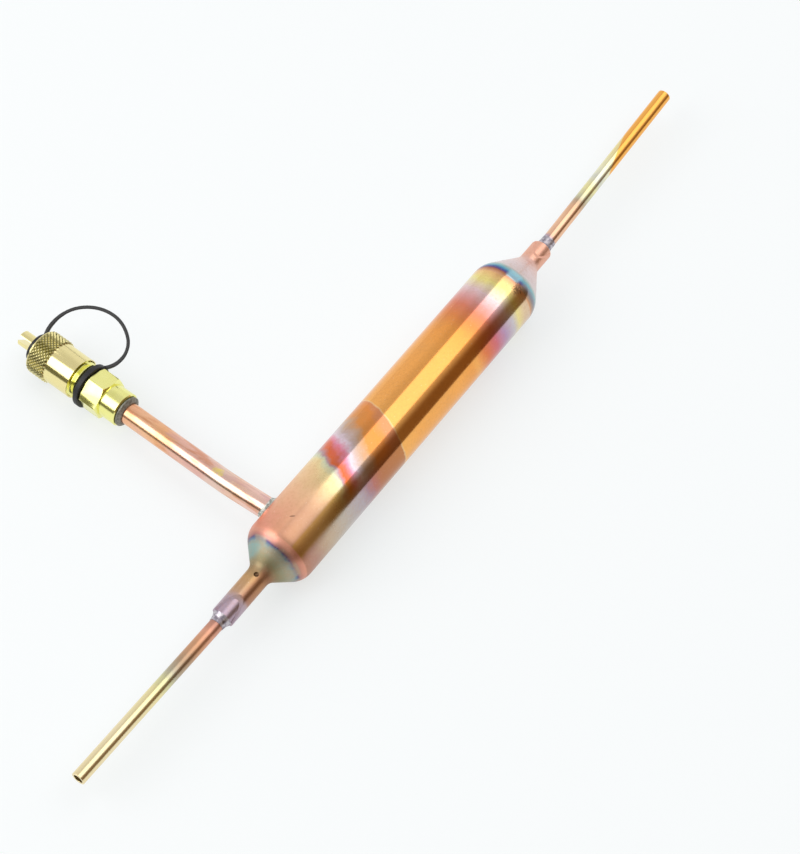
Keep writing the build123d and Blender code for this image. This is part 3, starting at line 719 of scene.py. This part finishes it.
softened.factor, softened.iterations = 0.5, 4
bpy.ops.object.modifier_apply(modifier="moulded")
bpy.ops.object.modifier_apply(modifier="softened")
settle(strap, valve_place @ Matrix.Rotation(radians(strap_turn), 4, "Z"))
dull = Finish("strap_rubber")
spot = dull.place()
cloud, dust = dull.noise(spot, 1.6, 3.0), dull.noise(spot, 0.12, 2.0)
dull.set(
    Base_Color=dull.mix(cloud, hue("131314"), hue("1f1f20")),
    Roughness=0.42 + cloud * 0.12 + dust * 0.05,
    Normal=dull.bump(dust, 0.012),
)
strap.data.materials.append(dull.material)
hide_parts("cap_strap")
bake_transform(strap)

# ---------------------------------------------------------------------------
# Inside the shell: a perforated brass cup just past the branch, a packed bed
# of desiccant beads, and a ring and a thimble of brass cloth at the outlet.

pressed = Finish("pressed_brass", Metallic=1.0)
spot = pressed.place()
cloud = pressed.noise(spot, 1.2, 3.0)
pressed.set(
    Base_Color=pressed.mix(cloud, hue("b89a58"), hue("d4ba78")),
    Roughness=0.28 + cloud * 0.15,
    Normal=pressed.bump(cloud, 0.02),
)
pressed.dress("inlet_screen", "outlet_ring")

woven = Finish("brass_cloth", Metallic=1.0)
spot = woven.place()
weave = woven.add("TexBrick", {"offset": 0.5}, spot, hue("c2a765"), hue("a98d50"), hue("3a2e18"),
                  2.6, 0.06, 0.1, 0.0, 0.5, 0.25)
wires = woven.noise(spot, 0.3, 3.0)
woven.set(Base_Color=weave, Roughness=0.35 + wires * 0.15, Normal=woven.bump(wires, 0.05))
woven.dress("outlet_mesh")

beads = Finish("desiccant_beads")
spot = beads.place()
# Painted shade: each bead is pale at its middle and darkens towards its rim, where the beads meet.
bead = beads.add("TexVoronoi", {"feature": "F1"}, spot, 0.62)
beads.set(
    Base_Color=beads.mix(bead, hue("dcd2bc"), hue("7d7462")),
    Roughness=0.7 + bead * 0.2,
    Normal=beads.bump(1.0 - bead, 0.9),
)
beads.dress("desiccant")

# ---------------------------------------------------------------------------
# Studio: a pale floor that turns white for the camera, two large soft lamps,
# and a surround that is darker on the viewer's side and past the inlet end.

bpy.ops.object.select_all(action="DESELECT")
bpy.ops.mesh.primitive_plane_add(size=6.0, location=(0, 0, cad_box[0][2]))
floor = bpy.context.object
floor.name = "floor"
paper = Finish("white_paper", Base_Color=hue("f4f5f8"), Roughness=0.9)
seen = paper.add("LightPath", {})
glossy, through = paper.add("LightPath", {}, out=3), paper.add("LightPath", {}, out=6)
lit = paper.add("Emission", {}, hue("fbffff"), 1.0)
plain = Value(paper, paper.shader.outputs[0])
blend = paper.add("MixShader", {}, (seen + glossy + through) * 0.66, plain, lit)
paper.plug(paper.tree.nodes["Material Output"].inputs[0], blend)
floor.data.materials.append(paper.material)

lamp_size = 0.96
for name, place, turn, power in (
    ("overhead_lamp", (0.5, -0.21, 1.0), (0, 0, 0), 2.85),
    ("side_lamp", (-0.65, 0.65, 0.76), (29.5, 37.5, 177.7), 6.3),
):
    bpy.ops.object.light_add(type="AREA", location=place, rotation=[radians(a) for a in turn])
    lamp = bpy.context.object
    lamp.name = name
    lamp.data.shape, lamp.data.size, lamp.data.energy = "SQUARE", lamp_size, power

surround = bpy.data.worlds.new("surround")
bpy.context.scene.world = surround
surround.use_nodes = True
sky = Tree(surround.node_tree)
east, north, up = sky.axes(sky.add("TexCoord", {}))
level = sky.mix(up.rise(0.5, 0.85), hue("f0f0f2"), hue("dad9d8"))
level = sky.mix(north.rise(-0.78, -0.45), hue("80694f"), level)
level = sky.mix(east.rise(-0.8, -0.66), hue("6c6a54"), level)
level = sky.mix(sky.add("LightPath", {}), level, hue("ffffff"))
sky.plug(surround.node_tree.nodes["Background"].inputs[0], level)

# ---------------------------------------------------------------------------
# Camera: from the inlet end and above, with a long lens that holds the whole
# drier from one tube end to the other.

camera_data = bpy.data.cameras.new("camera")
camera = bpy.data.objects.new("camera", camera_data)
bpy.context.scene.collection.objects.link(camera)
camera.location = (-0.341778, -0.239575, 0.667779)
camera.rotation_euler = (radians(31.8847), radians(-0.8302), radians(-53.9168))
camera_data.lens = 121.894
camera_data.clip_start = 0.01
bpy.context.scene.camera = camera
bpy.context.scene.view_settings.view_transform = "Standard"
